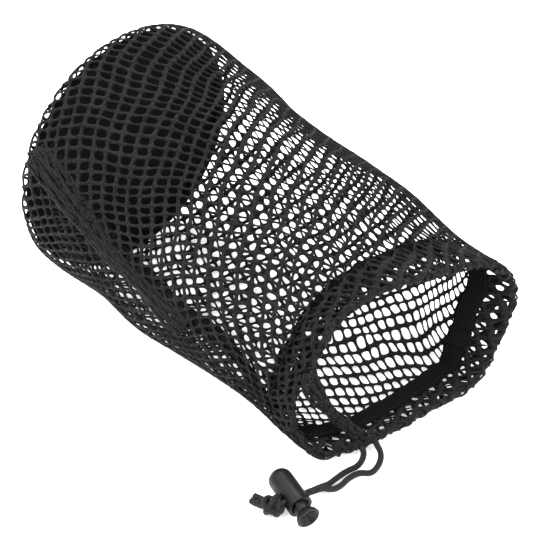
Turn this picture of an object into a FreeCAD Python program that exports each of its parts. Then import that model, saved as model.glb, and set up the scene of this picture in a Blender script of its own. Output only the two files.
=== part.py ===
import FreeCAD, Part
import Sketcher
import math
import os

# Drawstring mesh ball bag, lying on its side with the mouth open.
# Frame: +X runs from the round base to the mouth, +Z is up, z = 0 is the surface the bag lies on.
# Millimetres throughout.

Vector = FreeCAD.Vector
doc = FreeCAD.newDocument("mesh_ball_bag")
sheet = doc.addObject("Spreadsheet::Sheet", "Dimensions")

# ---------------------------------------------------------------- driving dimensions

# One row per cross-section of the bag: place of its lowest point, half width, height, how square its
# lower half is on the -Y side and on the +Y side (2 is round), and how far its plane leans back and
# swings towards -Y.
STATIONS = ("base", "rear", "fore", "neck", "rim")
STATION_FIELDS = ("place_x", "place_y", "half_width", "height", "square_left", "square_right",
                  "lean", "swing")
STATION_VALUES = {
    "base": (-99.9, -9.5, 70.0, 140.0, 2.0, 2.0, 0.0, 0.0),
    "rear": (-45.9, -5.5, 70.0, 122.0, 2.2, 2.1, 4.0, 2.0),
    "fore": (14.1, 1.5, 69.0, 101.0, 2.9, 2.2, 9.0, 5.0),
    "neck": (70.1, 8.5, 68.0, 83.0, 4.0, 2.2, 13.0, 8.0),
    "rim": (95.1, 11.5, 67.5, 77.5, 4.3, 2.2, 13.0, 8.0),
}

DIMENSIONS = {
    "sink": 1.2,                    # how far the round sections would dip below their flat underside
    "net_wall": 1.2,
    "base_round": 4.0,
    "base_opening_radius": 62.0,
    "panel_radius": 64.5,
    "panel_thick": 1.6,
    "binding_inner_radius": 60.0,
    "binding_outer_radius": 64.0,
    "binding_thick": 2.0,
    "hem_fold_thick": 7.0,
    "hem_depth": 25.0,
    "hem_taper": 13.0,
    "tape_width": 10.0,
    "tape_thick": 0.8,
    "tape_gap": 0.4,
    "stitch_thick": 0.5,
    "stitch_gap": 0.1,
    "stitch_inset": 1.4,
    "tape_join_length": 13.0,
    "tape_set_in": 0.5,
    "tape_join_place": 0.55,
    "seam_gap": 0.5,
    "seam_thick": 1.0,
    "seam_width": 7.0,
    "seam_height_base": 92.0,
    "seam_height_neck": 21.0,
    "cord_radius": 1.5,
    "channel_radius": 2.1,
    "channel_depth": 10.5,
    "lock_x": 86.4,
    "lock_y": -78.6,
    "lock_heading": -16.0,
    "barrel_radius": 6.0,
    "barrel_bore_radius": 4.55,
    "barrel_back": 17.6,
    "barrel_front": 6.0,
    "barrel_floor": 4.6,
    "barrel_dome": 5.2,
    "barrel_window_back": 3.8,
    "barrel_window_front": 2.8,
    "window_height": 6.2,
    "stem_radius": 4.2,
    "stem_back": 8.2,
    "stem_window_back": 2.8,
    "stem_window_front": 6.6,
    "stem_step": 0.5,
    "spring_seat_radius": 3.0,
    "spring_seat_depth": 5.2,
    "neck_radius": 4.0,
    "neck_front": 9.9,
    "head_back": 11.8,
    "head_front": 13.8,
    "head_radius": 5.9,
    "head_lip": 0.5,
    "head_dish_radius": 4.9,
    "head_dish_depth": 3.0,
    "head_dish_floor": 1.6,
    "spring_radius": 2.3,
    "spring_wire_radius": 0.3,
    "spring_pitch": 1.3,
    "spring_end_play": 0.06,
    "strand_apart": 0.95,
    "strand_level": 1.22,
    "strand_straight": 13.5,
    "strand_end": 11.0,
    "knot_aside": 1.6,
    "knot_place": 11.4,
    "knot_radius": 4.6,
    "exit_right": 37.5,
    "exit_left": 45.5,
    "exit_level_right": 3.9,
    "exit_level_left": 4.6,
    "exit_heading_right": -30.0,
    "exit_heading_left": -35.0,
    "exit_run": 5.6,
}


def fill_sheet():
    rows = list(DIMENSIONS.items())
    for station in STATIONS:
        for field, value in zip(STATION_FIELDS, STATION_VALUES[station]):
            rows.append((station + "_" + field, value))
    for number, (alias, value) in enumerate(rows, start=1):
        sheet.set("A%d" % number, alias)
        sheet.set("B%d" % number, "%g" % value)
        sheet.setAlias("B%d" % number, alias)
    doc.recompute()


def dim(alias):
    return float(sheet.get(alias))


def bind(feature, prop, expression):
    """Ties a property to a formula in which every word is a cell of the sheet."""
    feature.setExpression(prop, expression)


def cell(alias):
    return "Dimensions." + alias


# ---------------------------------------------------------------- cross-sections and walls

SECTION_POINTS = 28
HALVINGS = 40


def section_axes(lean, swing):
    """Unit vectors of a leaning, swinging section plane: across, upwards and along the bag."""
    lean_angle = math.radians(lean)
    swing_angle = math.radians(swing)
    across = Vector(math.sin(swing_angle), math.cos(swing_angle), 0)
    along = Vector(math.cos(swing_angle), -math.sin(swing_angle), 0) * math.cos(lean_angle)
    along = along + Vector(0, 0, math.sin(lean_angle))
    return across, along.cross(across), along


def station_frame(name):
    across, upward, along = section_axes(dim(name + "_lean"), dim(name + "_swing"))
    foot = Vector(dim(name + "_place_x"), dim(name + "_place_y"), 0)
    return foot, across, upward, along


def outline_point(angle, half_width, height, square_left, square_right, inset):
    """A point of a section outline, round above the middle and squarer below it."""
    power = 2.0
    if math.sin(angle) < 0:
        power = square_left if math.cos(angle) < 0 else square_right
    reach_across = half_width - inset
    reach_up = height / 2 - inset
    along_cos = abs(math.cos(angle)) / reach_across
    along_sin = abs(math.sin(angle)) / reach_up
    radius = (along_cos ** power + along_sin ** power) ** (-1.0 / power)
    middle = height / 2 - dim("sink")
    return Vector(radius * math.cos(angle), middle + radius * math.sin(angle), 0)


def flat_angle(half_width, height, square, inset):
    """The angle below the horizontal at which the outline meets the flat underside, by halving."""
    low, high = -math.pi / 2, 0.0
    for step in range(HALVINGS):
        middle = (low + high) / 2
        if outline_point(middle, half_width, height, square, square, inset).y < inset:
            low = middle
        else:
            high = middle
    return low


def add_outline(name, station, inset, setback=0.0, blend_to=None, blend=0.0):
    """A closed outline at a station, flat below, moved inwards and blended towards another station."""
    values = [dim(station + "_" + field) for field in STATION_FIELDS]
    if blend_to is not None:
        others = [dim(blend_to + "_" + field) for field in STATION_FIELDS]
        values = [own + (other - own) * blend for own, other in zip(values, others)]
    place_x, place_y, half_width, height, square_left, square_right, lean, swing = values
    first = flat_angle(half_width, height, square_right, inset)
    last = math.pi - flat_angle(half_width, height, square_left, inset)
    points = []
    for index in range(SECTION_POINTS):
        angle = first + (last - first) * index / (SECTION_POINTS - 1)
        points.append(outline_point(angle, half_width, height, square_left, square_right, inset))
    points[0].y = inset
    points[-1].y = inset
    curve = Part.BSplineCurve()
    curve.interpolate(Points=points)
    underside = Part.LineSegment(points[-1], points[0])
    outline = doc.addObject("Part::Feature", name)
    outline.Shape = Part.Wire([curve.toShape(), underside.toShape()])
    across, upward, along = section_axes(lean, swing)
    foot = Vector(place_x, place_y, 0) + along * setback
    outline.Placement = FreeCAD.Placement(foot, FreeCAD.Rotation(across, upward, along, "ZXY"))
    return outline


def add_loft(name, outlines, ruled):
    loft = doc.addObject("Part::Loft", name)
    loft.Sections = outlines
    loft.Solid = True
    loft.Ruled = ruled
    return loft


def add_cut(name, base, tool):
    cut = doc.addObject("Part::Cut", name)
    cut.Base = base
    cut.Tool = tool
    return cut


def add_fuse(name, shapes):
    fuse = doc.addObject("Part::MultiFuse", name)
    fuse.Shapes = shapes
    return fuse


def hem_blend(depth):
    """How far from the rim station to the neck station a place at this depth behind the rim lies."""
    return depth / dim("hem_depth")


def hem_wall(depth):
    """Thickness of the folded hem at a depth behind the rim: full, then tapering to the plain net."""
    full_depth = dim("hem_depth") - dim("hem_taper")
    taper = max(0.0, depth - full_depth) / dim("hem_taper")
    return dim("hem_fold_thick") + (dim("net_wall") - dim("hem_fold_thick")) * taper


def add_hem_band(name, front_depth, back_depth, gap, thick):
    """A ring that follows the inside of the hem between two depths, a gap away from it."""
    faces = []
    for side, inset in (("outer", gap), ("inner", gap + thick)):
        rings = []
        for end, depth in (("back", back_depth), ("front", front_depth)):
            ring_inset = hem_wall(depth) + inset
            ring_name = "_".join((name, side, end))
            rings.append(add_outline(ring_name, "rim", ring_inset, 0.0, "neck", hem_blend(depth)))
        faces.append(add_loft(name + "_" + side, rings, True))
    return add_cut(name, faces[0], faces[1])


# ---------------------------------------------------------------- cords

CORD_RUN_SHARE = 0.45
LIMP_CORD_DIAMETERS = 3


def route_wire(name, points):
    """Straight runs joined by tangent arcs, each as large as its two runs allow."""
    ends = [points[0]]
    arcs = []
    radii = []
    for index in range(1, len(points) - 1):
        back = points[index - 1] - points[index]
        ahead = points[index + 1] - points[index]
        setback = CORD_RUN_SHARE * min(back.Length, ahead.Length)
        turn = math.pi - back.getAngle(ahead)
        radii.append(setback / math.tan(turn / 2))
        back.normalize()
        ahead.normalize()
        start = points[index] + back * setback
        finish = points[index] + ahead * setback
        bisector = back + ahead
        bisector.normalize()
        middle = points[index] + bisector * (radii[-1] / math.cos(turn / 2) - radii[-1])
        arcs.append(Part.Arc(start, middle, finish).toShape())
        ends += [start, finish]
    ends.append(points[-1])
    edges = []
    for index in range(0, len(ends), 2):
        edges.append(Part.LineSegment(ends[index], ends[index + 1]).toShape())
        if index // 2 < len(arcs):
            edges.append(arcs[index // 2])
    listed = " ".join("%.1f" % radius for radius in radii)
    print("%s: arc radii %s mm, smallest %.1f, least wished %.1f"
          % (name, listed, min(radii), LIMP_CORD_DIAMETERS * 2 * dim("cord_radius")))
    return Part.Wire(edges)


def tube_shape(path, radius):
    start = path.Edges[0]
    direction = start.tangentAt(start.FirstParameter)
    section = Part.Wire([Part.makeCircle(radius, path.OrderedVertexes[0].Point, direction)])
    return path.makePipeShell([section], True, False)


def add_cord(name, points, radius):
    """A round cord along a route, with its volume compared with its section times its length."""
    path = route_wire(name, points)
    cord = doc.addObject("Part::Feature", name)
    cord.Shape = tube_shape(path, radius)
    expected = math.pi * radius ** 2 * path.Length
    print("%s: length %.1f mm, volume %.1f of %.1f mm3" % (name, path.Length, cord.Shape.Volume, expected))
    return cord


def hem_point(across_place, height_above_floor, depth):
    """A point given by its place across the rim and its height, at a depth behind the rim."""
    blend = hem_blend(depth)
    rim_foot, across, upward, along = station_frame("rim")
    neck_foot = station_frame("neck")[0]
    foot = rim_foot + (neck_foot - rim_foot) * blend
    rise = (height_above_floor - foot.z) / upward.z
    return foot + across * across_place + upward * rise


def channel_ring(angle):
    """A point of the drawcord's course inside the hem, at an angle round the section."""
    blend = hem_blend(dim("channel_depth"))
    half_width = dim("rim_half_width") * (1 - blend) + dim("neck_half_width") * blend
    height = dim("rim_height") * (1 - blend) + dim("neck_height") * blend
    inset = dim("hem_fold_thick") / 2
    squares = (dim("rim_square_left"), dim("rim_square_right"))
    place = outline_point(angle, half_width, height, squares[0], squares[1], inset)
    rim_foot, across, upward, along = station_frame("rim")
    neck_foot = station_frame("neck")[0]
    foot = rim_foot + (neck_foot - rim_foot) * blend
    level = max(place.y, inset)
    return foot + across * place.x + upward * level


def heading(degrees):
    angle = math.radians(degrees)
    return Vector(math.cos(angle), math.sin(angle), 0)


# ---------------------------------------------------------------- the bag's pieces


def make_net_tube():
    """The net wall, closed round the base panel and folded back on itself as a hem for the drawcord."""
    round_off = dim("base_round")
    end = add_outline("net_outer_end", "base", round_off)
    outer = [add_outline("net_outer_base", "base", 0.0, round_off)]
    outer += [add_outline("net_outer_" + station, station, 0.0) for station in STATIONS[1:]]
    corner = add_loft("net_outer_corner", [end, outer[0]], True)
    outside = add_fuse("net_outside", [corner, add_loft("net_outer", outer, False)])

    inner_end = add_outline("net_inner_end", "base", round_off, dim("net_wall"))
    inner = [add_outline("net_inner_base", "base", dim("net_wall"), round_off)]
    inner += [add_outline("net_inner_" + name, name, dim("net_wall")) for name in STATIONS[1:-1]]
    inner_corner = add_loft("net_inner_corner", [inner_end, inner[0]], True)
    inner_loft = add_loft("net_inner", inner, False)

    full_depth = dim("hem_depth") - dim("hem_taper")
    mouth_rings = [inner[-1]]
    for label, depth, setback in (("full", full_depth, 0.0), ("front", 0.0, 0.0), ("past", 0.0, 1.0)):
        ring = add_outline("mouth_" + label, "rim", hem_wall(depth), setback, "neck", hem_blend(depth))
        mouth_rings.append(ring)
    mouth = add_loft("mouth_space", mouth_rings, True)

    opening = doc.addObject("Part::Cylinder", "base_opening")
    bind(opening, "Radius", cell("base_opening_radius"))
    bind(opening, "Height", cell("net_wall") + " * 4")
    turn_to_x = FreeCAD.Rotation(Vector(0, 1, 0), 90)
    opening.Placement = FreeCAD.Placement(Vector(), turn_to_x)
    bind(opening, "Placement.Base.x", cell("base_place_x") + " - 2 * " + cell("net_wall"))
    bind(opening, "Placement.Base.y", cell("base_place_y"))
    bind(opening, "Placement.Base.z", cell("base_height") + " / 2 - " + cell("sink"))

    channel = doc.addObject("Part::Feature", "channel")
    channel.Shape = tube_shape(route_wire("channel", channel_route(2.0)), dim("channel_radius"))
    removed = add_fuse("net_removed", [inner_corner, inner_loft, mouth, opening, channel])
    return add_cut("net_tube", outside, removed)


def channel_route(overrun):
    """The drawcord's whole course in the hem, from the right exit round the mouth to the left exit."""
    level_right = dim("exit_level_right")
    level_left = dim("exit_level_left")
    exit_right = hem_point(-dim("exit_right"), level_right, 0.0)
    exit_left = hem_point(-dim("exit_left"), level_left, 0.0)
    right_way = heading(dim("exit_heading_right"))
    left_way = heading(dim("exit_heading_left"))
    points = [exit_right + right_way * overrun]
    points.append(exit_right - right_way * 6.0)
    points.append(hem_point(-dim("exit_right") + 12.0, level_right - 0.3, dim("channel_depth")))
    for degrees in CHANNEL_ANGLES:
        points.append(channel_ring(math.radians(degrees)))
    points.append(hem_point(-dim("exit_left") - 9.5, level_left + 2.2, dim("channel_depth") + 1.5))
    points.append(exit_left - left_way * 7.5)
    points.append(exit_left + left_way * overrun)
    return points


CHANNEL_ANGLES = (-45, -31, -14, 10, 33, 54, 73, 90, 107, 126, 147, 170, 192)


def add_disc(name, outer_cell, inner_cell, thick_cell, place_expression):
    """A flat disc or ring standing across the bag's axis, padded towards the mouth."""
    body = doc.addObject("PartDesign::Body", name)
    profile = body.newObject("Sketcher::SketchObject", name + "_profile")
    plane = [item for item in body.Origin.OriginFeatures if item.Role == "YZ_Plane"][0]
    profile.AttachmentSupport = [(plane, "")]
    profile.MapMode = "FlatFace"
    for alias in filter(None, (outer_cell, inner_cell)):
        circle = Part.Circle(Vector(), Vector(0, 0, 1), dim(alias))
        index = profile.addGeometry(circle, False)
        profile.addConstraint(Sketcher.Constraint("Coincident", index, 3, -1, 1))
        size = profile.addConstraint(Sketcher.Constraint("Radius", index, dim(alias)))
        profile.setExpression("Constraints[%d]" % size, cell(alias))
    pad = body.newObject("PartDesign::Pad", name + "_pad")
    pad.Profile = profile
    bind(pad, "Length", cell(thick_cell))
    bind(body, "Placement.Base.x", place_expression)
    bind(body, "Placement.Base.y", cell("base_place_y"))
    bind(body, "Placement.Base.z", cell("base_height") + " / 2 - " + cell("sink"))
    return body


def make_base_pieces():
    inside = cell("base_place_x") + " + " + cell("net_wall")
    panel = add_disc("base_panel", "panel_radius", None, "panel_thick", inside)
    behind = inside + " + " + cell("panel_thick")
    binding = add_disc("base_seam_binding", "binding_outer_radius", "binding_inner_radius",
                       "binding_thick", behind)
    return [panel, binding]


def make_hem_pieces():
    """The tape that covers the hem's raw edge, its two rows of stitches and the lap of its ends."""
    back = dim("hem_depth") - dim("tape_set_in")
    front = back - dim("tape_width")
    tape = add_hem_band("hem_tape", front, back, dim("tape_gap"), dim("tape_thick"))

    over_tape = dim("tape_gap") + dim("tape_thick") + dim("stitch_gap")
    rows = []
    row_width = dim("stitch_thick")
    for label, depth in (("front", front + dim("stitch_inset")), ("back", back - dim("stitch_inset"))):
        rows.append(add_hem_band("hem_stitches_" + label, depth - row_width, depth + row_width,
                                 over_tape, dim("stitch_thick")))
    stitches = doc.addObject("Part::Compound", "hem_stitching")
    stitches.Links = rows

    lap_gap = over_tape + dim("stitch_thick") + dim("stitch_gap")
    lap_ring = add_hem_band("tape_lap_ring", front, back, lap_gap, dim("tape_thick"))
    lap_space = doc.addObject("Part::Box", "tape_lap_space")
    bind(lap_space, "Length", cell("hem_depth") + " * 3")
    bind(lap_space, "Width", cell("tape_join_length"))
    bind(lap_space, "Height", cell("rim_height") + " / 2")
    bind(lap_space, "Placement.Base.x", cell("neck_place_x") + " - " + cell("hem_depth"))
    bind(lap_space, "Placement.Base.y",
         cell("rim_place_y") + " + " + cell("rim_half_width") + " * " + cell("tape_join_place"))
    lap = doc.addObject("Part::Common", "hem_tape_lap")
    lap.Base = lap_ring
    lap.Tool = lap_space
    return [tape, stitches, lap]


def make_side_seam():
    """The overlocked edges of the net, a narrow strip along the inside of the -Y wall."""
    walls = []
    for side, extra in (("outer", 0.0), ("inner", dim("seam_thick"))):
        inset = dim("net_wall") + dim("seam_gap") + extra
        outlines = [add_outline("seam_%s_base" % side, "base", inset, dim("net_wall") * 4)]
        outlines += [add_outline("seam_%s_%s" % (side, name), name, inset) for name in STATIONS[1:4]]
        walls.append(add_loft("seam_" + side, outlines, False))
    layer = add_cut("seam_layer", walls[0], walls[1])
    strip = doc.addObject("Part::Box", "seam_strip")
    run = dim("neck_place_x") - dim("base_place_x")
    fall = math.atan2(dim("seam_height_base") - dim("seam_height_neck"), run)
    bind(strip, "Height", cell("seam_width"))
    bind(strip, "Width", cell("base_half_width"))
    bind(strip, "Length", cell("neck_place_x") + " - " + cell("base_place_x") + " - " + cell("hem_taper"))
    strip.Placement.Rotation = FreeCAD.Rotation(Vector(0, 1, 0), math.degrees(fall))
    bind(strip, "Placement.Base.x", cell("base_place_x") + " + " + cell("net_wall") + " * 5")
    bind(strip, "Placement.Base.y", cell("base_place_y") + " - " + cell("base_half_width") + " * 1.1")
    bind(strip, "Placement.Base.z", cell("seam_height_base"))
    seam = doc.addObject("Part::Common", "side_seam")
    seam.Base = layer
    seam.Tool = strip
    return [seam]


# ---------------------------------------------------------------- the drawcord


def lock_point(along_axis, along_cord, level):
    """A point from the cord lock's centre: along its axis, along the cord towards the bag, and up."""
    centre = Vector(dim("lock_x"), dim("lock_y"), 0)
    axis = heading(dim("lock_heading"))
    cord_way = heading(dim("lock_heading") + 90)
    return centre + axis * along_axis + cord_way * along_cord + Vector(0, 0, level)


def make_drawcord():
    cord_radius = dim("cord_radius")
    channel_points = channel_route(0.0)
    whole = add_cord("drawcord_in_hem", channel_points, cord_radius)

    straight = dim("strand_straight")
    apart = dim("strand_apart")
    lock_level = dim("barrel_radius")
    level_change = dim("strand_level")
    right_way = heading(dim("exit_heading_right"))
    left_way = heading(dim("exit_heading_left"))

    right_exit = channel_points[0]
    right_points = [
        right_exit,
        right_exit + right_way * dim("exit_run"),
        Vector(97.2, -32.5, 2.3),
        Vector(98.1, -38.2, 1.7),
        Vector(96.5, -43.8, 1.7),
        Vector(95.2, -49.5, 1.7),
        Vector(95.7, -55.2, 1.8),
        Vector(94.7, -60.8, 3.3),
        lock_point(apart, straight, lock_level + level_change),
        lock_point(apart, -dim("strand_end"), lock_level + level_change),
    ]
    left_exit = channel_points[-1]
    left_points = [
        left_exit,
        left_exit + left_way * dim("exit_run"),
        Vector(93.5, -41.8, 2.0),
        Vector(92.0, -47.4, 1.7),
        Vector(91.7, -53.1, 1.7),
        Vector(91.5, -58.8, 2.0),
        lock_point(-apart, straight, lock_level - level_change),
        lock_point(-apart, -dim("strand_end"), lock_level - level_change),
    ]
    right = add_cord("drawcord_right", right_points, cord_radius)
    left = add_cord("drawcord_left", left_points, cord_radius)

    knot = doc.addObject("Part::Sphere", "drawcord_knot")
    bind(knot, "Radius", cell("knot_radius"))
    knot.Placement.Base = lock_point(-dim("knot_aside"), -dim("knot_place"), dim("knot_radius"))

    right_tail = add_cord("drawcord_tail_right", [
        Vector(77.9, -89.2, 4.2),
        Vector(74.2, -88.5, 2.9),
        Vector(70.6, -88.7, 1.8),
    ], cord_radius)
    left_tail = add_cord("drawcord_tail_left", [
        Vector(78.8, -91.8, 4.1),
        Vector(75.2, -92.9, 2.6),
        Vector(71.5, -92.5, 1.7),
    ], cord_radius)
    return [whole, right, left, knot, right_tail, left_tail]


# ---------------------------------------------------------------- the cord lock


def new_body(name):
    """A body whose local X is the cord lock's axis and whose local Y runs along the cord."""
    body = doc.addObject("PartDesign::Body", name)
    turn = FreeCAD.Rotation(Vector(0, 0, 1), dim("lock_heading"))
    body.Placement = FreeCAD.Placement(lock_point(0, 0, dim("barrel_radius")), turn)
    return body


def add_profile(body, name, corners):
    """A closed sketch on the body's XZ plane; each corner is two formulas of the sheet's cells."""
    profile = body.newObject("Sketcher::SketchObject", name)
    plane = [item for item in body.Origin.OriginFeatures if item.Role == "XZ_Plane"][0]
    profile.AttachmentSupport = [(plane, "")]
    profile.MapMode = "FlatFace"
    count = len(corners)
    values = [[evaluate(formula) for formula in corner] for corner in corners]
    for index in range(count):
        start = Vector(values[index][0], values[index][1], 0)
        finish = Vector(values[(index + 1) % count][0], values[(index + 1) % count][1], 0)
        profile.addGeometry(Part.LineSegment(start, finish), False)
    for index in range(count):
        profile.addConstraint(Sketcher.Constraint("Coincident", index, 2, (index + 1) % count, 1))
    for index, corner in enumerate(corners):
        for kind, formula, value in (("DistanceX", corner[0], values[index][0]),
                                     ("DistanceY", corner[1], values[index][1])):
            number = profile.addConstraint(Sketcher.Constraint(kind, -1, 1, index, 1, value))
            profile.setExpression("Constraints[%d]" % number, expression_of(formula))
    return profile


def evaluate(formula):
    """Value of a formula given as (sign, cell) pairs and plain numbers."""
    total = 0.0
    for term in formula:
        total += term if isinstance(term, (int, float)) else term[0] * dim(term[1])
    return total


def expression_of(formula):
    words = []
    for term in formula:
        if isinstance(term, (int, float)):
            words.append("%g mm" % term)
        else:
            words.append("%g mm * %s" % (term[0], cell(term[1])))
    return " + ".join(words)


def add_revolution(body, name, profile):
    turned = body.newObject("PartDesign::Revolution", name)
    turned.Profile = profile
    turned.ReferenceAxis = (profile, ["H_Axis"])
    turned.Angle = 360
    return turned


def add_window(body, name, back, front):
    """Cuts the cord's window right across the body, and checks that it removed something."""
    doc.recompute()
    before = body.Shape.Volume
    half = (0.5, "window_height")
    low = (-0.5, "window_height")
    corners = [[back, [low]], [front, [low]], [front, [half]], [back, [half]]]
    profile = add_profile(body, name + "_profile", corners)
    window = body.newObject("PartDesign::Pocket", name)
    window.Profile = profile
    window.Type = "ThroughAll"
    window.SideType = "Symmetric"
    doc.recompute()
    print("%s removed %.1f mm3" % (name, before - body.Shape.Volume))
    assert body.Shape.Volume < before - 1


def closed_end_rim(turned):
    """Name of the circular edge round the barrel's closed end."""
    for number, edge in enumerate(turned.Shape.Edges, start=1):
        if hasattr(edge.Curve, "Center") and abs(edge.Curve.Radius - dim("barrel_radius")) < 0.01:
            if edge.Curve.Center.x < 0:
                return "Edge%d" % number
    raise RuntimeError("the barrel has no rim at its closed end")


def make_barrel():
    body = new_body("lock_barrel")
    back = (-1, "barrel_back")
    outer = (1, "barrel_radius")
    bore = (1, "barrel_bore_radius")
    corners = [
        [[back], [0.0]],
        [[back], [outer]],
        [[(1, "barrel_front")], [outer]],
        [[(1, "barrel_front")], [bore]],
        [[back, (1, "barrel_floor")], [bore]],
        [[back, (1, "barrel_floor")], [0.0]],
    ]
    turned = add_revolution(body, "barrel_turned", add_profile(body, "barrel_profile", corners))
    doc.recompute()
    dome = body.newObject("PartDesign::Fillet", "barrel_dome")
    dome.Base = (turned, [closed_end_rim(turned)])
    bind(dome, "Radius", cell("barrel_dome"))
    add_window(body, "barrel_window", [(-1, "barrel_window_back")], [(1, "barrel_window_front")])
    return body


def make_plunger():
    body = new_body("lock_plunger")
    seat = (1, "spring_seat_radius")
    stem = (1, "stem_radius")
    neck = (1, "neck_radius")
    head = (1, "head_radius")
    step = "stem_step"
    front = (1, "head_front")
    corners = [
        [[(-1, "spring_seat_depth")], [0.0]],
        [[(-1, "spring_seat_depth")], [seat]],
        [[(-1, "stem_back")], [seat]],
        [[(-1, "stem_back")], [stem]],
        [[(1, "barrel_front"), (-1, step)], [stem]],
        [[(1, "barrel_front"), (1, step)], [neck]],
        [[(1, "neck_front")], [neck]],
        [[(1, "head_back")], [head, (-1, "head_lip")]],
        [[front, (-1, "head_lip")], [head]],
        [[front], [head, (-1, "head_lip")]],
        [[front], [(1, "head_dish_radius")]],
        [[front, (-1, "head_dish_depth")], [(1, "head_dish_floor")]],
        [[front, (-1, "head_dish_depth")], [0.0]],
    ]
    add_revolution(body, "plunger_turned", add_profile(body, "plunger_profile", corners))
    add_window(body, "plunger_window", [(-1, "stem_window_back")], [(1, "stem_window_front")])
    return body


def make_spring():
    """A coil spring between the barrel's closed end and the seat in the plunger's stem."""
    coil = doc.addObject("Part::Helix", "spring_coil")
    bind(coil, "Radius", cell("spring_radius"))
    bind(coil, "Pitch", cell("spring_pitch"))
    room = cell("barrel_back") + " - " + cell("barrel_floor") + " - " + cell("spring_seat_depth")
    wire_ends = " - 2 * " + cell("spring_wire_radius") + " - 2 * " + cell("spring_end_play")
    bind(coil, "Height", room + wire_ends)
    section = doc.addObject("Part::Circle", "spring_section")
    bind(section, "Radius", cell("spring_wire_radius"))
    section.Placement = FreeCAD.Placement(Vector(dim("spring_radius"), 0, 0),
                                          FreeCAD.Rotation(Vector(1, 0, 0), 90))
    spring = doc.addObject("Part::Sweep", "lock_spring")
    spring.Sections = [section]
    spring.Spine = (coil, ["Edge1"])
    spring.Solid = True
    spring.Frenet = True
    along_lock = FreeCAD.Rotation(Vector(0, 0, 1), dim("lock_heading"))
    turn = along_lock.multiply(FreeCAD.Rotation(Vector(0, 1, 0), 90))
    start = dim("barrel_floor") - dim("barrel_back") + dim("spring_wire_radius") + dim("spring_end_play")
    spring.Placement = FreeCAD.Placement(lock_point(start, 0, dim("barrel_radius")), turn)
    return spring


# ---------------------------------------------------------------- build, check, write

fill_sheet()
pieces = [make_net_tube()]
pieces += make_base_pieces()
pieces += make_hem_pieces()
pieces += make_side_seam()
pieces += make_drawcord()
pieces += [make_barrel(), make_plunger(), make_spring()]
doc.recompute()

for item in doc.Objects:
    for state in ("Invalid", "Error"):
        if state in item.State:
            raise RuntimeError("%s is %s" % (item.Name, state))

for piece in pieces:
    piece.Label = piece.Name
    shape = piece.Shape
    if shape.isNull() or not shape.isValid():
        raise RuntimeError("%s has no valid shape" % piece.Label)
    box = shape.BoundBox
    print("%-20s solids %d volume %9.1f  x %.1f..%.1f  y %.1f..%.1f  z %.2f..%.2f"
          % (piece.Label, len(shape.Solids), shape.Volume,
             box.XMin, box.XMax, box.YMin, box.YMax, box.ZMin, box.ZMax))

os.makedirs("parts", exist_ok=True)
for piece in pieces:
    piece.Shape.exportStep("parts/" + piece.Label + ".step")
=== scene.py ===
import math
import random

import bmesh
import bpy
import numpy as np
from mathutils import Matrix, Vector


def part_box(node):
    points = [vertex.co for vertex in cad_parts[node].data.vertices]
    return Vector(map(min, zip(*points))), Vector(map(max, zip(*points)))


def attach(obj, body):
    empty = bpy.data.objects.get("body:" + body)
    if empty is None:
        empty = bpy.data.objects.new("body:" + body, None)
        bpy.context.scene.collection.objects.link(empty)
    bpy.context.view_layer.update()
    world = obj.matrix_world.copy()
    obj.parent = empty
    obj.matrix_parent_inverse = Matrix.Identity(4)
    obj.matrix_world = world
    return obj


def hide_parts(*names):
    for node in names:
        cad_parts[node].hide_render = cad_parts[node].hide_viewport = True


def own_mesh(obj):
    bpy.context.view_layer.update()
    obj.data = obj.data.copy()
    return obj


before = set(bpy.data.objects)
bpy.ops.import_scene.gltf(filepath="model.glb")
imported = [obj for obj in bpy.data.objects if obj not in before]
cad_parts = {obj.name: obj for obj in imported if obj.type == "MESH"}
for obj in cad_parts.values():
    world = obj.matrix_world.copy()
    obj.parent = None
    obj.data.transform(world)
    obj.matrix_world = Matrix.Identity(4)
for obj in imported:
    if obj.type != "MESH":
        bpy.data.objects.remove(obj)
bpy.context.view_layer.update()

# Looks of a drawstring mesh ball bag that lies on its side with the mouth open.
# The frame is the CAD's: +X runs from the round base to the mouth, +Z is up, z = 0 is the surface.
# Blender works in metres. Points and sizes are written in millimetres and passed through MM.

MM = 0.001
TURN = 2 * math.pi


def mm(points):
    return np.array(points, dtype=float) * MM


# ---------------------------------------------------------------- camera, floor and light

# The way from the bag back to the camera, worked out from the photo.
BACK_AZIMUTH = math.radians(44.97)
BACK_ELEVATION = math.radians(42.3)
CAMERA_DISTANCE = 0.8
CAMERA_LENS = 105.79
CAMERA_TARGET = Vector((5.37, -10.08, 50.0)) * MM
FLOOR_SIDE = 3.0
FLOOR_GLOW = 0.5


def make_camera():
    data = bpy.data.cameras.new("camera")
    data.lens = CAMERA_LENS
    data.sensor_width = 36
    data.clip_start = 0.01
    data.clip_end = 50
    camera = bpy.data.objects.new("camera", data)
    level = math.cos(BACK_ELEVATION)
    back = Vector((math.sin(BACK_AZIMUTH) * level, -math.cos(BACK_AZIMUTH) * level,
                   math.sin(BACK_ELEVATION)))
    camera.location = CAMERA_TARGET + back * CAMERA_DISTANCE
    camera.rotation_euler = back.to_track_quat("Z", "Y").to_euler()
    bpy.context.collection.objects.link(camera)
    bpy.context.scene.camera = camera


def make_light(name, place, size, power):
    data = bpy.data.lights.new(name, "AREA")
    data.shape = "DISK"
    data.size = size
    data.energy = power
    light = bpy.data.objects.new(name, data)
    light.location = place
    light.rotation_euler = (Vector(place) - CAMERA_TARGET).to_track_quat("Z", "Y").to_euler()
    bpy.context.collection.objects.link(light)


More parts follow.
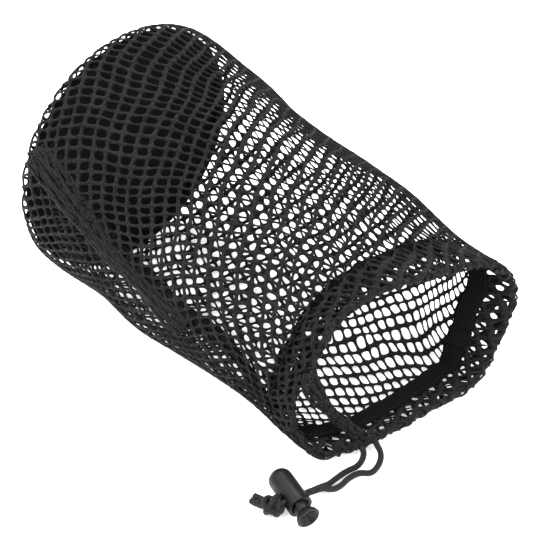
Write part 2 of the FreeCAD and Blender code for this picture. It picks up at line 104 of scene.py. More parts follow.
def make_studio():
    """A plain white floor and large soft lights round the bag, shown without a film curve."""
    bpy.context.scene.view_settings.view_transform = "Standard"
    world = bpy.data.worlds.new("studio")
    bpy.context.scene.world = world
    world.use_nodes = True
    world.node_tree.nodes["Background"].inputs["Color"].default_value = (1, 1, 1, 1)
    world.node_tree.nodes["Background"].inputs["Strength"].default_value = 1.0
    make_light("key_light", (-0.2, -0.7, 1.2), 0.8, 26)
    make_light("fill_light", (1.0, 0.2, 0.9), 0.9, 12)
    make_light("top_light", (-0.5, 0.5, 1.3), 0.9, 12)
    mesh = bpy.data.meshes.new("floor")
    corners = ((-1, -1), (1, -1), (1, 1), (-1, 1))
    mesh.from_pydata([(x * FLOOR_SIDE, y * FLOOR_SIDE, 0) for x, y in corners], [], [(0, 1, 2, 3)])
    floor = bpy.data.objects.new("floor", mesh)
    bpy.context.collection.objects.link(floor)
    white = plain_material("floor_white", (0.93, 0.93, 0.93), 0.9)
    glow = white.node_tree.nodes["Principled BSDF"]
    glow.inputs["Emission Color"].default_value = (1, 1, 1, 1)
    glow.inputs["Emission Strength"].default_value = FLOOR_GLOW
    mesh.materials.append(white)


# ---------------------------------------------------------------- materials


def plain_material(name, colour, roughness):
    material = bpy.data.materials.new(name)
    material.use_nodes = True
    shader = material.node_tree.nodes["Principled BSDF"]
    shader.inputs["Base Color"].default_value = (*colour, 1)
    shader.inputs["Roughness"].default_value = roughness
    return material


class Nodes:
    """Adds nodes to a material, and links by socket name."""

    def __init__(self, material):
        self.tree = material.node_tree
        self.shader = self.tree.nodes["Principled BSDF"]

    def add(self, kind, inputs=None, **settings):
        node = self.tree.nodes.new(kind)
        for key, value in settings.items():
            setattr(node, key, value)
        for key, value in (inputs or {}).items():
            if isinstance(value, bpy.types.NodeSocket):
                self.tree.links.new(value, node.inputs[key])
            else:
                node.inputs[key].default_value = value
        return node

    def math(self, operation, first, second):
        return self.add("ShaderNodeMath", {0: first, 1: second}, operation=operation).outputs[0]

    def ramp(self, factor, low, high, dark, light):
        """Maps a factor between two limits to a blend of two colours."""
        spread = self.add("ShaderNodeMapRange", {"Value": factor, "From Min": low, "From Max": high})
        mix = self.add("ShaderNodeMix", {"Factor": spread.outputs[0]}, data_type="RGBA")
        mix.inputs["A"].default_value = (*dark, 1)
        mix.inputs["B"].default_value = (*light, 1)
        return mix.outputs["Result"]

    def bump(self, height, distance, strength, below=None):
        inputs = {"Height": height, "Distance": distance, "Strength": strength}
        if below is not None:
            inputs["Normal"] = below
        return self.add("ShaderNodeBump", inputs).outputs["Normal"]

    def feed(self, socket, value):
        self.tree.links.new(value, self.shader.inputs[socket])


def yarn_material(name, dark, light, fibre_scale, bump_height):
    """Fuzzy synthetic yarn: fine fibres, bumped and painted as lighter and darker flecks that are painted
    highlights and painted shade of lit fibres, a slow colour change of its own tone and a soft sheen.
    """
    material = plain_material(name, dark, 0.72)
    nodes = Nodes(material)
    place = nodes.add("ShaderNodeTexCoord").outputs["Object"]
    fibres = nodes.add("ShaderNodeTexNoise", {"Vector": place, "Scale": fibre_scale, "Detail": 3.0})
    patches = nodes.add("ShaderNodeTexNoise", {"Vector": place, "Scale": 60.0, "Detail": 2.0})
    glint_and_tone = nodes.math("ADD", nodes.math("MULTIPLY", fibres.outputs[0], 0.85),
                       nodes.math("MULTIPLY", patches.outputs[0], 0.15))
    # Painted highlight and painted shade: the fibre flecks, mixed with the yarn's own slow change of
    # tone.
    nodes.feed("Base Color", nodes.ramp(glint_and_tone, 0.4, 0.66, dark, light))
    nodes.feed("Normal", nodes.bump(fibres.outputs[0], bump_height, 1.0))
    nodes.shader.inputs["Sheen Weight"].default_value = 0.02
    nodes.shader.inputs["Sheen Roughness"].default_value = 0.5
    nodes.shader.inputs["Specular IOR Level"].default_value = 0.16
    return material


def woven_material(name, dark, light, threads_per_metre, bump_height):
    """Plain weave: two crossed sets of threads, on the piece's UV map in metres."""
    material = plain_material(name, dark, 0.78)
    nodes = Nodes(material)
    place = nodes.add("ShaderNodeTexCoord").outputs["UV"]
    scaled = nodes.add("ShaderNodeVectorMath", {0: place, 1: (threads_per_metre,) * 3},
                       operation="MULTIPLY").outputs[0]
    parts = nodes.add("ShaderNodeSeparateXYZ", {0: scaled})
    waves = []
    for axis in ("X", "Y"):
        turned = nodes.math("MULTIPLY", parts.outputs[axis], TURN)
        waves.append(nodes.math("SINE", turned, 0.0))
    crossed = nodes.math("MULTIPLY", waves[0], waves[1])
    fibres = nodes.add("ShaderNodeTexNoise", {"Vector": scaled, "Scale": 2.3, "Detail": 3.0})
    height = nodes.math("ADD", nodes.math("MULTIPLY", crossed, 0.35), fibres.outputs[0])
    nodes.feed("Base Color", nodes.ramp(height, 0.1, 0.9, dark, light))
    nodes.feed("Normal", nodes.bump(height, bump_height, 0.7))
    nodes.shader.inputs["Sheen Weight"].default_value = 0.004
    nodes.shader.inputs["Specular IOR Level"].default_value = 0.06
    return material


def braid_material(name, dark, light, length, diameter):
    """Braided cord: two crossing helices of yarns on the curve's own UV map, the yarns' crowns and fibre
    flecks painted lighter as highlights and the grooves between them darker as painted shade.
    """
    material = plain_material(name, dark, 0.68)
    nodes = Nodes(material)
    place = nodes.add("ShaderNodeTexCoord").outputs["UV"]
    parts = nodes.add("ShaderNodeSeparateXYZ", {0: place})
    turns = length / (diameter * 2.6)
    along = nodes.math("MULTIPLY", parts.outputs["X"], TURN * turns)
    around = nodes.math("MULTIPLY", parts.outputs["Y"], TURN)
    yarns = 4.0
    first = nodes.math("SINE", nodes.math("MULTIPLY", nodes.math("ADD", along, around), yarns), 0.0)
    second = nodes.math("SINE", nodes.math("MULTIPLY", nodes.math("SUBTRACT", along, around), yarns),
                        0.0)
    weave = nodes.math("MAXIMUM", first, second)
    spot = nodes.add("ShaderNodeTexCoord").outputs["Object"]
    fibres = nodes.add("ShaderNodeTexNoise", {"Vector": spot, "Scale": 2600.0, "Detail": 2.0})
    height = nodes.math("ADD", nodes.math("MULTIPLY", weave, 0.5),
                        nodes.math("MULTIPLY", fibres.outputs[0], 0.6))
    # Painted highlight on the yarn crowns and painted shade in the grooves: colour follows the same
    # height as the bump.
    nodes.feed("Base Color", nodes.ramp(height, 0.0, 0.9, dark, light))
    nodes.feed("Normal", nodes.bump(height, 0.0004, 0.9))
    nodes.shader.inputs["Sheen Weight"].default_value = 0.03
    nodes.shader.inputs["Specular IOR Level"].default_value = 0.2
    return material


def plastic_material(name, colour):
    """Moulded plastic with a fine spark-eroded grain and a few rubbed places."""
    material = plain_material(name, colour, 0.42)
    material.node_tree.nodes["Principled BSDF"].inputs["Specular IOR Level"].default_value = 0.26
    nodes = Nodes(material)
    place = nodes.add("ShaderNodeTexCoord").outputs["Object"]
    grain = nodes.add("ShaderNodeTexNoise", {"Vector": place, "Scale": 4200.0, "Detail": 2.0})
    rubbed = nodes.add("ShaderNodeTexNoise", {"Vector": place, "Scale": 180.0, "Detail": 3.0})
    spread = nodes.add("ShaderNodeMapRange", {"Value": rubbed.outputs[0], "From Min": 0.35,
                                              "From Max": 0.7, "To Min": 0.38, "To Max": 0.52})
    nodes.feed("Roughness", spread.outputs[0])
    nodes.feed("Normal", nodes.bump(grain.outputs[0], 0.00004, 0.5))
    return material


def steel_material(name):
    material = plain_material(name, (0.55, 0.55, 0.56), 0.3)
    material.node_tree.nodes["Principled BSDF"].inputs["Metallic"].default_value = 1.0
    nodes = Nodes(material)
    place = nodes.add("ShaderNodeTexCoord").outputs["Object"]
    drawn = nodes.add("ShaderNodeTexNoise", {"Vector": place, "Scale": 3000.0, "Detail": 1.0})
    nodes.feed("Normal", nodes.bump(drawn.outputs[0], 0.00002, 0.4))
    return material


# ---------------------------------------------------------------- the bag's surface

COLUMNS = 256
NET_COURSE = 440 * MM

BASE_CENTRE = (-9.5, 68.8)

# The round end, from the seam on the base cloth outwards and forwards: place along X and radius.
ROUND_END = ((-104.8, 60.5), (-106.2, 64.5), (-105.6, 68.0), (-102.0, 70.2), (-95.0, 70.6))

# Cross-sections of the wall: foot x, foot y, half width, height, squareness of the lower left and lower
# right quarters, lean and swing in degrees.
WALL_SECTIONS = (
    (-70.0, -8.0, 70.2, 131.0, 2.1, 2.0, 2.0, 1.0),
    (-45.9, -5.5, 69.8, 122.0, 2.2, 2.1, 4.0, 2.0),
    (-16.0, -2.0, 69.5, 111.5, 2.5, 2.1, 6.5, 3.5),
    (14.1, 1.5, 69.0, 101.0, 2.9, 2.1, 9.0, 5.0),
    (42.0, 5.0, 68.0, 92.0, 3.3, 2.1, 11.0, 6.5),
)

# The inner edge of the hem tape, and the open rim, from the lowest middle round by +Y, the top and -Y.
# They were measured on the photo through a model of its camera, then rounded.
NECK_POINTS = (
    (73.5, 7.0, 1.3), (74.5, 24.0, 1.3), (75.0, 38.5, 2.0), (73.5, 46.5, 14.0), (71.0, 55.0, 27.0),
    (68.5, 66.0, 42.0), (64.0, 67.0, 57.0), (58.0, 55.0, 68.0), (54.0, 38.0, 75.0), (49.0, 6.0, 78.0),
    (46.5, -8.0, 74.5), (45.5, -20.0, 70.5), (45.5, -34.0, 64.5), (47.0, -46.5, 55.0),
    (48.5, -54.5, 43.0), (46.5, -57.5, 28.0), (46.0, -56.0, 14.0), (49.5, -50.5, 5.0),
    (55.5, -43.0, 1.8), (65.0, -30.0, 1.3), (70.5, -14.0, 1.3),
)
RIM_POINTS = (
    (93.5, 11.5, 1.2), (96.5, 24.0, 1.2), (98.5, 37.5, 2.0), (97.5, 49.5, 7.0), (93.5, 65.0, 18.0),
    (91.0, 76.5, 31.0), (89.0, 77.5, 44.0), (87.0, 69.5, 57.0), (84.0, 59.0, 65.0), (81.5, 45.5, 70.5),
    (78.5, 24.0, 75.5), (74.5, 8.0, 77.0), (69.0, -2.5, 74.5), (64.5, -14.0, 71.0),
    (61.5, -27.0, 66.5), (60.5, -37.0, 57.0), (60.0, -43.0, 41.0), (59.0, -49.0, 29.0),
    (59.5, -51.0, 18.0), (61.5, -52.0, 9.5), (66.5, -52.0, 4.0), (72.5, -51.5, 2.0),
    (79.0, -48.5, 1.4), (86.0, -34.0, 3.0), (90.0, -14.5, 1.8), (92.0, -1.0, 1.2),
)


def closed_spline(points, count):
    """Catmull-Rom through a closed loop of points, resampled to equal steps from the first point."""
    loop = np.array(points, dtype=float)
    steps = np.linspace(0, 1, 24, endpoint=False)[:, None]
    before, start, finish, after = (np.roll(loop, shift, axis=0) for shift in (1, 0, -1, -2))
    dense = []
    for index in range(len(loop)):
        p0, p1, p2, p3 = before[index], start[index], finish[index], after[index]
        dense.append(0.5 * (2 * p1 + (p2 - p0) * steps + (2 * p0 - 5 * p1 + 4 * p2 - p3) * steps ** 2
                            + (3 * p1 - p0 - 3 * p2 + p3) * steps ** 3))
    return equal_steps(np.vstack(dense), count)


def equal_steps(loop, count):
    closed = np.vstack([loop, loop[:1]])
    lengths = np.concatenate([[0], np.cumsum(np.linalg.norm(np.diff(closed, axis=0), axis=1))])
    wanted = np.linspace(0, lengths[-1], count, endpoint=False)
    return np.stack([np.interp(wanted, lengths, closed[:, axis]) for axis in range(3)], axis=1)


def wall_section(values):
    foot_x, foot_y, half_width, height, low_left, low_right, lean, swing = values
    lean, swing = math.radians(lean), math.radians(swing)
    across = np.array([math.sin(swing), math.cos(swing), 0])
    along = np.array([math.cos(swing) * math.cos(lean), -math.sin(swing) * math.cos(lean),
                      math.sin(lean)])
    upward = np.cross(along, across)
    angle = np.linspace(-math.pi / 2, 1.5 * math.pi, 720, endpoint=False)
    cosine, sine = np.cos(angle), np.sin(angle)
    power = np.where(sine < 0, np.where(cosine < 0, low_left, low_right), 2.0)
    radius = (np.abs(cosine / half_width) ** power + np.abs(sine / (height / 2)) ** power) ** (-1 / power)
    middle = height / 2
    return (np.array([foot_x, foot_y, 0]) + (radius * cosine)[:, None] * across
            + (middle + radius * sine)[:, None] * upward)


def ring_section(place_x, radius):
    angle = np.linspace(-math.pi / 2, 1.5 * math.pi, 720, endpoint=False)
    return np.stack([np.full(720, place_x), BASE_CENTRE[0] + radius * np.cos(angle),
                     BASE_CENTRE[1] + radius * np.sin(angle)], axis=1)


def station_loops():
    loops = [equal_steps(ring_section(*ring), COLUMNS) for ring in ROUND_END]
    loops += [equal_steps(wall_section(values), COLUMNS) for values in WALL_SECTIONS]
    loops += [closed_spline(points, COLUMNS) for points in (NECK_POINTS, RIM_POINTS)]
    return np.array(loops) * MM


def smooth_rows(loops, places, wanted):
    """Cubic interpolation of the loops along the bag, row by row."""
    slopes = np.zeros_like(loops)
    spans = np.diff(places)
    rises = np.diff(loops, axis=0) / spans[:, None, None]
    slopes[1:-1] = (rises[1:] * spans[:-1, None, None] + rises[:-1] * spans[1:, None, None]) / (
        spans[1:] + spans[:-1])[:, None, None]
    slopes[0], slopes[-1] = rises[0], rises[-1]
    index = np.clip(np.searchsorted(places, wanted, side="right") - 1, 0, len(spans) - 1)
    span = spans[index][:, None, None]
    share = ((wanted - places[index]) / spans[index])[:, None, None]
    square, cube = share ** 2, share ** 3
    return ((2 * cube - 3 * square + 1) * loops[index]
            + (cube - 2 * square + share) * span * slopes[index]
            + (3 * square - 2 * cube) * loops[index + 1]
            + (cube - square) * span * slopes[index + 1])


ROW_STEP = 1.2 * MM
STRAND_THICK = 0.58 * MM
LOWEST_MIDDLE = 0.95 * MM
HEM_FOLD = 2.3 * MM
HEM_DEPTH = 20 * MM


def bump(value, centre, width):
    return np.exp(-((value - centre) / width) ** 2)


def around(u, centre):
    """How far u is from a centre, the short way round the bag."""
    return np.mod(u - centre + 0.5, 1.0) - 0.5


class Surface:
    """The bag's middle surface: u from 0 to 1 round it, t in metres from the base seam to the rim."""

    def __init__(self):
        loops = station_loops()
        gaps = np.linalg.norm(np.diff(loops, axis=0), axis=2).mean(axis=1)
        places = np.concatenate([[0], np.cumsum(gaps)])
        self.length = places[-1]
        self.neck = places[-2]
        self.fold = self.length - HEM_FOLD
        self.rows = int(self.length / ROW_STEP) + 1
        self.grid = smooth_rows(loops, places, np.linspace(0, self.length, self.rows))
        self.shape_cloth()
        self.grid[:, :, 2] = np.maximum(self.grid[:, :, 2], LOWEST_MIDDLE)
        self.find_directions()

    def shape_cloth(self):
        """Slack of the net: slow waves, a lifted floor side, its crease, and gathers by the rim."""
        u = np.linspace(0, 1, COLUMNS, endpoint=False)[None, :]
        t = np.linspace(0, self.length, self.rows)[:, None]
        self.find_directions()
        before_rim = self.length - t
        fade = np.clip((t - 20 * MM) / (40 * MM), 0, 1)
        wave = (1.0 * np.sin(TURN * (3 * u + t / 0.11)) + 0.8 * np.sin(TURN * (5 * u - t / 0.083) + 1.0)
                + 0.4 * np.sin(TURN * (9 * u + t / 0.052) + 2.0))
        above = np.clip(self.grid[:, :, 2] / (12 * MM), 0, 1)
        gather = np.clip((36 * MM - before_rim) / (14 * MM), 0, 1)
        upper = bump(around(u, 0.62), 0, 0.13)
        folds = upper * (0.9 * np.sin(TURN * (before_rim / 0.0068 + 5 * u))
                         + 0.6 * np.sin(TURN * (33 * u + t / 0.03)))
        scallop = 0.5 * np.sin(TURN * 43 * u) + 0.35 * np.sin(TURN * (71 * u + 0.3))
        edge = np.clip((9 * MM - before_rim) / (9 * MM), 0, 1)
        out = (wave * fade * above + folds * gather + scallop * edge) * MM
        self.grid = self.grid + self.normals * out[:, :, None]
        lift = 8.0 * bump(t, 0.112, 0.042) * bump(around(u, 0.06), 0, 0.1)
        crease_line = 0.045 + (t - 0.145) * 0.9
        crease = 3.2 * bump(around(u, crease_line), 0, 0.013) * bump(t, 0.147, 0.02)
        self.grid[:, :, 2] += (lift + crease) * MM

    def find_directions(self):
        """Normals out of the bag and directions towards the rim, at every grid point."""
        ring = np.roll(self.grid, -1, axis=1) - np.roll(self.grid, 1, axis=1)
        along = np.gradient(self.grid, axis=0)
        normals = np.cross(ring, along)
        self.normals = normals / np.linalg.norm(normals, axis=2, keepdims=True)
        self.forwards = along / np.linalg.norm(along, axis=2, keepdims=True)

    def sample(self, table, u, t):
        column = np.mod(np.asarray(u), 1.0) * COLUMNS
        row = np.clip(np.asarray(t) / self.length, 0, 1) * (self.rows - 1)
        left = np.floor(column).astype(int)
        low = np.minimum(np.floor(row).astype(int), self.rows - 2)
        across = (column - left)[:, None]
        up = (row - low)[:, None]
        right = (left + 1) % COLUMNS
        left = left % COLUMNS
        return ((table[low, left] * (1 - across) + table[low, right] * across) * (1 - up)
                + (table[low + 1, left] * (1 - across) + table[low + 1, right] * across) * up)

    def point(self, u, t, offset=0.0):
        """Points at u and t, moved out of the cloth, and its normals. Past the rim, t runs round the
        hem's fold and back down its inner layer."""
        u = np.atleast_1d(np.asarray(u, dtype=float))
        t = np.broadcast_to(np.atleast_1d(np.asarray(t, dtype=float)), u.shape)
        past = t - self.fold
        turn = np.clip(past / HEM_FOLD, 0, math.pi)
        back = np.maximum(past - math.pi * HEM_FOLD, 0)
        place = np.where(past < 0, t, self.fold - back)
        base = self.sample(self.grid, u, place)
        normal = self.sample(self.normals, u, place)
        normal = normal / np.linalg.norm(normal, axis=1, keepdims=True)
        forward = self.sample(self.forwards, u, place)
        inset = HEM_FOLD * (1 - np.cos(turn)) * hem_closing(back)
        facing = normal * np.cos(turn)[:, None] + forward * np.sin(turn)[:, None]
        middle = base + forward * (HEM_FOLD * np.sin(turn))[:, None] - normal * inset[:, None]
        middle[:, 2] = np.maximum(middle[:, 2], LOWEST_MIDDLE)
        return middle + facing * np.broadcast_to(offset, u.shape)[:, None], facing

    def inside(self, u, depth, gap):
        """Points on the inner side of the hem, at depths behind the rim, and the normals there."""
        depth = np.broadcast_to(depth, np.shape(u))
        base, normal = self.point(u, self.length - depth)
        stand = 2 * HEM_FOLD * hem_closing(depth) + gap
        return base - normal * stand[:, None], normal


def hem_closing(depth):
    """The hem's two layers come together away from the cord: 1 at the fold, little at the tape."""
    return 1 - 0.72 * np.clip((depth - 3 * MM) / (6 * MM), 0, 1)


# ---------------------------------------------------------------- the net

# The net is cut on a slant. Its strands run in two directions: steps round the bag rise towards the
# mouth, and steps along it drift back. CELLS_ROUND steps one way and CELLS_ALONG the other close the
# loop.
CELLS_ROUND = 75
CELLS_ALONG = 27
RISE = math.radians(26.0)
DRIFT = math.radians(57.0)
EDGE_PARTS = 3
KNOT_SWELL = 1.2
HOLE_SIDE = 0.72
HOLE_CORNER = 0.6
HOLE_VARIATION = 0.06
HEM_HOLE_SIDE = 0.58
HEM_HOLE_CORNER = 0.5


def lattice_place(first, second):
    """Places round and along the flat net of points counted in cells."""
    step_round = NET_COURSE * math.sin(DRIFT) / math.sin(RISE + DRIFT) / CELLS_ROUND
    step_along = NET_COURSE * math.sin(RISE) / math.sin(RISE + DRIFT) / CELLS_ALONG
    return (first * step_round * math.cos(RISE) - second * step_along * math.cos(DRIFT),
            first * step_round * math.sin(RISE) + second * step_along * math.sin(DRIFT))


def drift(round_place, along_place):
    """Uneven tension: shifts of the flat net's points, the same on both sides of the closing line."""
    u = round_place / NET_COURSE
    t = along_place
    shift_round = (1.1 * np.sin(TURN * (4 * u + t / 0.091))
                   + 0.7 * np.sin(TURN * (7 * u - t / 0.057) + 1)
                   + 0.28 * np.sin(TURN * (31 * u + t / 0.019))
                   + 0.16 * np.sin(TURN * (53 * u - t / 0.009)))
    shift_along = (1.2 * np.sin(TURN * (3 * u - t / 0.082) + 2)
                   + 0.7 * np.sin(TURN * (8 * u + t / 0.049))
                   + 0.28 * np.sin(TURN * (29 * u - t / 0.017))
                   + 0.16 * np.sin(TURN * (57 * u + t / 0.008)))
    return round_place + shift_round * MM, along_place + shift_along * MM


def cell_ring(hole_side, hole_corner):
    """Points round a cell from its centre, in cells, and the smaller rounded ring of its hole."""
    corners = np.array([(0.5, 0.5), (-0.5, 0.5), (-0.5, -0.5), (0.5, -0.5)])
    ring = np.array([corners[side] + (corners[(side + 1) % 4] - corners[side]) * part / EDGE_PARTS
                     for side in range(4) for part in range(EDGE_PARTS)])
    scale = np.where(np.arange(len(ring)) % EDGE_PARTS == 0, hole_corner, hole_side)
    return ring, ring * scale[:, None]


def net_piece(name, surface, start, end, hole_side, hole_corner, window=(0.0, 1.0), inset=0.0,
              shift=0.0):
    """A stretch of net between two places along the surface, its strands solid. A window keeps the
    part between two places round the bag, inset by a distance, its lattice shifted."""
    firsts, seconds = np.meshgrid(np.arange(-20, 130), np.arange(-60, 60), indexing="ij")
    cells = np.stack([firsts.ravel(), seconds.ravel()], axis=1)
    place_round, place_along = lattice_place(cells[:, 0] + 0.5, cells[:, 1] + 0.5)
    cells = cells[(place_round >= window[0] * NET_COURSE) & (place_round < window[1] * NET_COURSE)
                  & (place_along > start) & (place_along < end)]
    ring, hole_ring = cell_ring(hole_side, hole_corner)
    centres = cells[:, None, :] + 0.5
    keys = np.rint((centres + ring[None]) * EDGE_PARTS).astype(int).reshape(-1, 2)
    key_round = lattice_place(keys[:, 0] / EDGE_PARTS, keys[:, 1] / EDGE_PARTS)[0]
    laps = np.floor(key_round / NET_COURSE + 1e-6).astype(int)
    keys = keys - laps[:, None] * np.array([CELLS_ROUND, -CELLS_ALONG]) * EDGE_PARTS
    keys, shared = np.unique(keys, axis=0, return_inverse=True)
    shared = shared.reshape(len(cells), len(ring))
    at_knot = (keys % EDGE_PARTS == 0).all(axis=1)
    swell = STRAND_THICK * np.where(at_knot, KNOT_SWELL, 1.0)
    uneven = 1 + HOLE_VARIATION * np.sin(12.9898 * cells[:, 0] + 78.233 * cells[:, 1])
    holes = (centres + hole_ring[None] * uneven[:, None, None]).reshape(-1, 2)

    def solid(points, offset):
        place_round, place_along = drift(*lattice_place(points[:, 0], points[:, 1]))
        u = (place_round + shift) / NET_COURSE
        return surface.point(u, np.clip(place_along + shift, start, end), offset - inset)[0]

    edge = keys / EDGE_PARTS
    vertices = np.vstack([solid(edge, swell), solid(edge, -swell), solid(holes, 0.0)])
    count = len(keys)
    hole_index = 2 * count + np.arange(len(holes)).reshape(len(cells), len(ring))
    following = np.roll(shared, -1, axis=1)
    hole_following = np.roll(hole_index, -1, axis=1)
    upper = np.stack([shared, following, hole_following, hole_index], axis=2).reshape(-1, 4)
    lower = np.stack([following + count, shared + count, hole_index, hole_following],
                     axis=2).reshape(-1, 4)
    return new_mesh(name, vertices, np.vstack([upper, lower]))


def new_mesh(name, vertices, faces, uv=None):
    mesh = bpy.data.meshes.new(name)
    mesh.from_pydata([tuple(v) for v in vertices], [], [tuple(int(i) for i in f) for f in faces])
    if uv is not None:
        layer = mesh.uv_layers.new(name="UVMap")
        corners = np.empty(len(mesh.loops), dtype=np.int32)
        mesh.loops.foreach_get("vertex_index", corners)
        layer.data.foreach_set("uv", np.asarray(uv, dtype=np.float32)[corners].ravel())
    mesh.shade_smooth()
    mesh.update()
    piece = bpy.data.objects.new(name, mesh)
    bpy.context.collection.objects.link(piece)
    return piece


def dress(piece, material, body="bag", replaces=()):
    """Gives a piece its material and slot, and says which body it rides on and what it replaces."""
    piece.data.materials.clear()
    piece.data.materials.append(material)
    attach(piece, body)
    if replaces:
        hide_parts(*replaces)
    return piece


# ---------------------------------------------------------------- cloth bands and the base


def cloth_strip(name, rows, thick, uv, whole=False):
    """A strip of cloth with two faces and closed edges. Each row is points and their normals."""
    width = len(rows[0][0])
    count = len(rows)
    faces_up = [points for points, normals in rows]
    faces_down = [points - normals * thick for points, normals in rows]
    vertices = np.array(faces_up + faces_down).reshape(-1, 3)
    uv = np.vstack([uv, uv])
    lower = count * width
    faces = []
    for row in range(count - 1):
        for column in range(width - 1):
            here = row * width + column
            face = (here, here + 1, here + width + 1, here + width)
            faces.append(face[::-1])
            faces.append(tuple(index + lower for index in face))
    border = [(column, column + 1) for column in range(width - 1)]
    border += [((count - 1) * width + column + 1, (count - 1) * width + column)
               for column in range(width - 1)]
    if not whole:
        border += [((row + 1) * width, row * width) for row in range(count - 1)]
        border += [(row * width + width - 1, (row + 1) * width + width - 1) for row in range(count - 1)]
    for first, second in border:
        faces.append((first, second, second + lower, first + lower))
    piece = new_mesh(name, vertices, faces, uv)
    shell = bmesh.new()
    shell.from_mesh(piece.data)
    bmesh.ops.remove_doubles(shell, verts=shell.verts, dist=1e-7)
    bmesh.ops.recalc_face_normals(shell, faces=shell.faces)
    shell.to_mesh(piece.data)
    shell.free()
    return piece


def hem_band(name, surface, u_range, near, far, gap, thick, columns, whole=False):
    """A strip that follows the inside of the hem between two depths behind the rim."""
    u = np.linspace(u_range[0], u_range[1], columns + 1)
    ripple = 0.35 * MM * np.sin(TURN * 17 * u + 0.5) + 0.25 * MM * np.sin(TURN * 41 * u)
    rows, uv = [], []
    for place in np.linspace(near, far, 7):
        rows.append(surface.inside(u, place + ripple, gap))
        uv.append(np.stack([u * NET_COURSE, np.full(len(u), place)], axis=1))
    return cloth_strip(name, rows, thick, np.vstack(uv), whole)


def make_base_cloth(radius, place_x, dome, thick):
    """The round end: woven cloth that bulges outwards a little, with slack towards its seam."""
    rings, spokes = 26, 120
    vertices, uv, faces = [], [], []
    for side in (0, 1):
        for ring in range(rings + 1):
            share = ring / rings
            for spoke in range(spokes):
                angle = TURN * spoke / spokes
                across, up = radius * share * math.cos(angle), radius * share * math.sin(angle)
                ripple = 0.7 * MM * share ** 3 * math.sin(9 * angle + 4 * share)
                bulge = dome * (1 - share ** 2) + ripple
                soft = 0.6 * MM * math.sin(across / 0.021 + 1) * math.sin(up / 0.017)
                vertices.append((place_x - bulge - soft * (1 - share) + thick * side,
                                 BASE_CENTRE[0] * MM + across, BASE_CENTRE[1] * MM + up))
                uv.append((across, up))
    layer = (rings + 1) * spokes
    for side in (0, 1):
        for ring in range(rings):
            for spoke in range(spokes):
                here = side * layer + ring * spokes + spoke
                beside = side * layer + ring * spokes + (spoke + 1) % spokes
                face = (here, here + spokes, beside + spokes, beside)
                faces.append(face[::-1] if side else face)
    for spoke in range(spokes):
        here = rings * spokes + spoke
        beside = rings * spokes + (spoke + 1) % spokes
        faces.append((here, here + layer, beside + layer, beside))
    return new_mesh("base_cloth", vertices, faces, uv)


def make_ring_band(name, place_x, radius, width, thick):
    """A folded binding round the base seam, slightly puckered."""
    spokes, profile = 160, 16
    vertices, uv, faces = [], [], []
    for spoke in range(spokes):
        angle = TURN * spoke / spokes
        pucker = 1 + 0.1 * math.sin(37 * angle) + 0.05 * math.sin(83 * angle)
        for index in range(profile):
            turn = TURN * index / profile
            out = radius + width / 2 * math.cos(turn)
            x = place_x + thick / 2 * math.sin(turn) * pucker
            vertices.append((x, BASE_CENTRE[0] * MM + out * math.cos(angle),
                             BASE_CENTRE[1] * MM + out * math.sin(angle)))
            uv.append((angle * radius, turn * width / TURN))
    for spoke in range(spokes):
        following = (spoke + 1) % spokes
        for index in range(profile):
            beside = (index + 1) % profile
            faces.append((spoke * profile + index, spoke * profile + beside,
                          following * profile + beside, following * profile + index))
    return new_mesh(name, vertices, faces, uv)


def tube_pieces(name, paths, radius, sides=8):
    """Short closed tubes along lists of points, joined in one mesh."""
    vertices, faces = [], []
    for path in paths:
        start = len(vertices)
        for index, point in enumerate(path):
            ahead = path[min(index + 1, len(path) - 1)] - path[max(index - 1, 0)]
            direction = Vector(ahead).normalized()
            side = direction.orthogonal().normalized()
            other = direction.cross(side)
            shrink = 0.6 if index in (0, len(path) - 1) else 1.0
            for step in range(sides):
                turn = TURN * step / sides
                vertices.append(Vector(point) + (side * math.cos(turn) + other * math.sin(turn))
                                * radius * shrink)
        for index in range(len(path) - 1):
            for step in range(sides):
                here = start + index * sides + step
                beside = start + index * sides + (step + 1) % sides
                faces.append((here, beside, beside + sides, here + sides))
        faces.append(tuple(start + step for step in reversed(range(sides))))
        last = start + (len(path) - 1) * sides
        faces.append(tuple(last + step for step in range(sides)))
    return new_mesh(name, vertices, faces)


def make_stitches(surface, depths, gap):
    """Two rows of lockstitch on the tape: one short raised thread for each stitch."""
    stitch, space = 2.6 * MM, 0.7 * MM
    paths = []
    for depth in depths:
        count = int(0.4 / (stitch + space))
        for number in range(count):
            u = (number + np.linspace(0.0, stitch / (stitch + space), 4)) / count
            lift = np.array([-0.1, 0.24, 0.24, -0.1]) * MM
            paths.append(surface.inside(u, depth, gap + lift)[0])
    return tube_pieces("hem_stitches", paths, 0.2 * MM, 6)


# The side seam from the base to the hem: distance from the base seam in millimetres, and place round,
# measured and rounded like the rim.
SEAM_COURSE = ((18, 0.66), (35, 0.67), (55, 0.69), (75, 0.71), (140, 0.72), (180, 0.75))
SEAM_WIDTH = 13 * MM


def seam_round(t):
    """The seam's place round the bag, at distances from the base seam."""
    known = np.array(SEAM_COURSE)
    return np.interp(t, known[:, 0] * MM, known[:, 1])


def seam_places(surface, count):
    t = np.linspace(SEAM_COURSE[0][0] * MM, surface.length - HEM_DEPTH, count)
    return t, seam_round(t)


def make_seam_strip(surface):
    """The strip of cloth sewn inside the net along its side seam."""
    t, u = seam_places(surface, 150)
    rows, uv = [], []
    for share in np.linspace(-0.5, 0.5, 7):
        pucker = 0.25 * MM * np.sin(TURN * t / 0.007 + 4 * share)
        edge = share * (SEAM_WIDTH + 2 * pucker) / NET_COURSE
        points, normals = surface.point(u + edge, t, pucker - 1.1 * MM)
        rows.append((points, normals))
        uv.append(np.stack([t, np.full(len(t), share * SEAM_WIDTH)], axis=1))
    return cloth_strip("side_seam_tape", rows, 0.6 * MM, np.vstack(uv))


